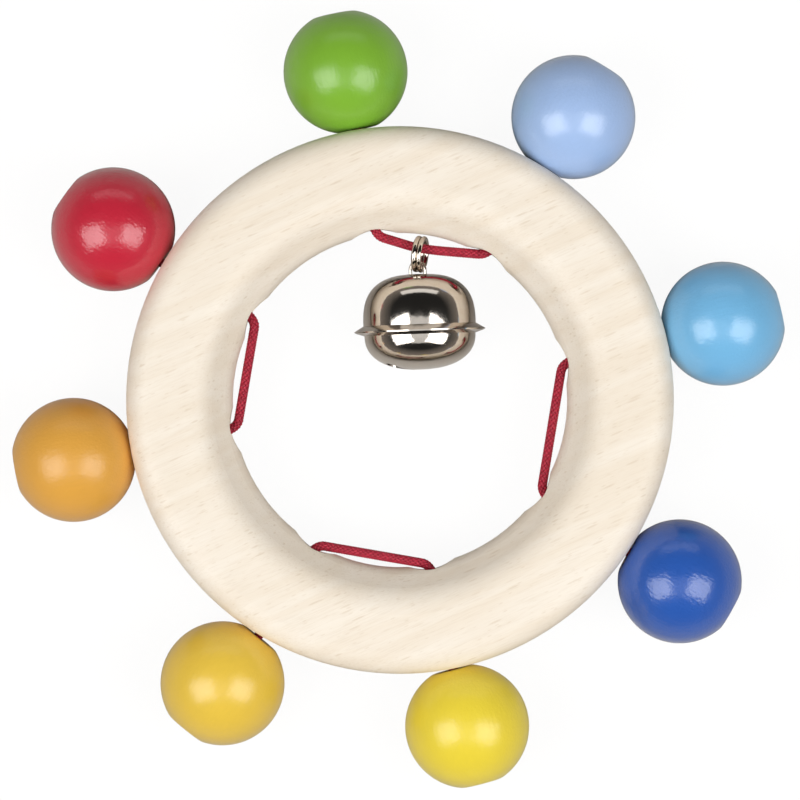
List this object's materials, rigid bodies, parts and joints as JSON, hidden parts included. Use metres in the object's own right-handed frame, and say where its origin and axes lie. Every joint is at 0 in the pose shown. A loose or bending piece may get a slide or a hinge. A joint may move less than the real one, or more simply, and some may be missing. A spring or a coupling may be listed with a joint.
{
  "type": "baby rattle",
  "caption": "Wooden ring rattle with coloured beads round it on elastic cords and a jingle bell hanging inside on a split ring.",
  "frame": {"origin": "on the ring's axis, at the table that the beads and the bell lie on", "axes": "+Z along the ring's axis, up from the table; +Y towards the cord that the bell hangs from"},
  "size_m": [0.1132, 0.114, 0.0192],
  "materials": {
    "beech": "turned and sanded, unlacquered",
    "lacquer_green": "gloss lacquer on beech",
    "lacquer_pale_blue": "gloss lacquer on beech",
    "lacquer_sky_blue": "gloss lacquer on beech",
    "lacquer_dark_blue": "gloss lacquer on beech",
    "lacquer_yellow": "gloss lacquer on beech",
    "lacquer_amber": "gloss lacquer on beech",
    "lacquer_orange": "gloss lacquer on beech",
    "lacquer_red": "gloss lacquer on beech",
    "braided_elastic": "braided sleeve over rubber",
    "nickel_wire": "bright nickel plate",
    "nickel_plate": "bright nickel plate on pressed steel",
    "bare_steel": "plain"
  },
  "bodies": {
    "ring": {"wooden_ring": "beech", "elastic_top": "braided_elastic", "elastic_right": "braided_elastic", "elastic_bottom": "braided_elastic", "elastic_left": "braided_elastic"},
    "cord_end_green": {"elastic_end_green": "braided_elastic"},
    "bead_green": {"bead_green": "lacquer_green"},
    "cord_end_pale_blue": {"elastic_end_pale_blue": "braided_elastic"},
    "bead_pale_blue": {"bead_pale_blue": "lacquer_pale_blue"},
    "cord_end_sky_blue": {"elastic_end_sky_blue": "braided_elastic"},
    "bead_sky_blue": {"bead_sky_blue": "lacquer_sky_blue"},
    "cord_end_dark_blue": {"elastic_end_dark_blue": "braided_elastic"},
    "bead_dark_blue": {"bead_dark_blue": "lacquer_dark_blue"},
    "cord_end_yellow": {"elastic_end_yellow": "braided_elastic"},
    "bead_yellow": {"bead_yellow": "lacquer_yellow"},
    "cord_end_amber": {"elastic_end_amber": "braided_elastic"},
    "bead_amber": {"bead_amber": "lacquer_amber"},
    "cord_end_orange": {"elastic_end_orange": "braided_elastic"},
    "bead_orange": {"bead_orange": "lacquer_orange"},
    "cord_end_red": {"elastic_end_red": "braided_elastic"},
    "bead_red": {"bead_red": "lacquer_red"},
    "split_ring": {"split_ring": "nickel_wire"},
    "bell": {"bell_eyelet": "nickel_wire", "bell_upper_shell": "nickel_plate", "bell_lower_shell": "nickel_plate"},
    "pellet": {"bell_pellet": "bare_steel"}
  },
  "joints": [
    {"name": "bead_green_pull", "type": "slide", "parent": "ring", "child": "cord_end_green", "axis": [-0.1564, 0.9877, 0], "range_m": [0, 0.01], "stiffness_N_per_m": 80, "springref_m": -0.008},
    {"name": "bead_green_spin", "type": "hinge", "parent": "cord_end_green", "child": "bead_green", "pos_m": [-0.00799, 0.04811, 0.0091], "axis": [-0.1977, 0.9803, 0], "continuous": true},
    {"name": "bead_pale_blue_pull", "type": "slide", "parent": "ring", "child": "cord_end_pale_blue", "axis": [0.5225, 0.8526, 0], "range_m": [0, 0.01], "stiffness_N_per_m": 80, "springref_m": -0.008},
    {"name": "bead_pale_blue_spin", "type": "hinge", "parent": "cord_end_pale_blue", "child": "bead_pale_blue", "pos_m": [0.02542, 0.04148, 0.0091], "axis": [0.5225, 0.8526, 0], "continuous": true},
    {"name": "bead_sky_blue_pull", "type": "slide", "parent": "ring", "child": "cord_end_sky_blue", "axis": [0.9732, 0.23, 0], "range_m": [0, 0.01], "stiffness_N_per_m": 80, "springref_m": -0.008},
    {"name": "bead_sky_blue_spin", "type": "hinge", "parent": "cord_end_sky_blue", "child": "bead_sky_blue", "pos_m": [0.04734, 0.01119, 0.0091], "axis": [0.9732, 0.23, 0], "continuous": true},
    {"name": "bead_dark_blue_pull", "type": "slide", "parent": "ring", "child": "cord_end_dark_blue", "axis": [0.831, -0.5563, 0], "range_m": [0, 0.01], "stiffness_N_per_m": 80, "springref_m": -0.008},
    {"name": "bead_dark_blue_spin", "type": "hinge", "parent": "cord_end_dark_blue", "child": "bead_dark_blue", "pos_m": [0.04101, -0.02659, 0.0091], "axis": [0.8746, -0.4848, 0], "continuous": true},
    {"name": "bead_yellow_pull", "type": "slide", "parent": "ring", "child": "cord_end_yellow", "axis": [0.1908, -0.9816, 0], "range_m": [0, 0.01], "stiffness_N_per_m": 80, "springref_m": -0.008},
    {"name": "bead_yellow_spin", "type": "hinge", "parent": "cord_end_yellow", "child": "bead_yellow", "pos_m": [0.00984, -0.04782, 0.0091], "axis": [0.2521, -0.9677, 0], "continuous": true},
    {"name": "bead_amber_pull", "type": "slide", "parent": "ring", "child": "cord_end_amber", "axis": [-0.509, -0.8607, 0], "range_m": [0, 0.01], "stiffness_N_per_m": 80, "springref_m": -0.008},
    {"name": "bead_amber_spin", "type": "hinge", "parent": "cord_end_amber", "child": "bead_amber", "pos_m": [-0.02602, -0.04153, 0.0091], "axis": [-0.6293, -0.7771, 0], "continuous": true},
    {"name": "bead_orange_pull", "type": "slide", "parent": "ring", "child": "cord_end_orange", "axis": [-0.9836, -0.1805, 0], "range_m": [0, 0.01], "stiffness_N_per_m": 80, "springref_m": -0.008},
    {"name": "bead_orange_spin", "type": "hinge", "parent": "cord_end_orange", "child": "bead_orange", "pos_m": [-0.04785, -0.00878, 0.0091], "axis": [-0.9836, -0.1805, 0], "continuous": true},
    {"name": "bead_red_pull", "type": "slide", "parent": "ring", "child": "cord_end_red", "axis": [-0.8686, 0.4955, 0], "range_m": [0, 0.01], "stiffness_N_per_m": 80, "springref_m": -0.008},
    {"name": "bead_red_spin", "type": "hinge", "parent": "cord_end_red", "child": "bead_red", "pos_m": [-0.04204, 0.02503, 0.0091], "axis": [-0.8111, 0.585, 0], "continuous": true},
    {"name": "split_ring_rock", "type": "hinge", "parent": "ring", "child": "split_ring", "pos_m": [0.00305, 0.0221, 0.0091], "axis": [0, 0, 1], "range_deg": [-15, 15]},
    {"name": "bell_swing", "type": "hinge", "parent": "split_ring", "child": "bell", "pos_m": [0.00293, 0.02137, 0.00922], "axis": [-0.9667, 0.115, -0.2285], "range_deg": [-65, 70]},
    {"name": "pellet_roll", "type": "hinge", "parent": "bell", "child": "pellet", "pos_m": [0.0029, 0.01016, 0.0096], "axis": [-0.0366, 0.9993, 0.0001], "continuous": true}
  ]
}
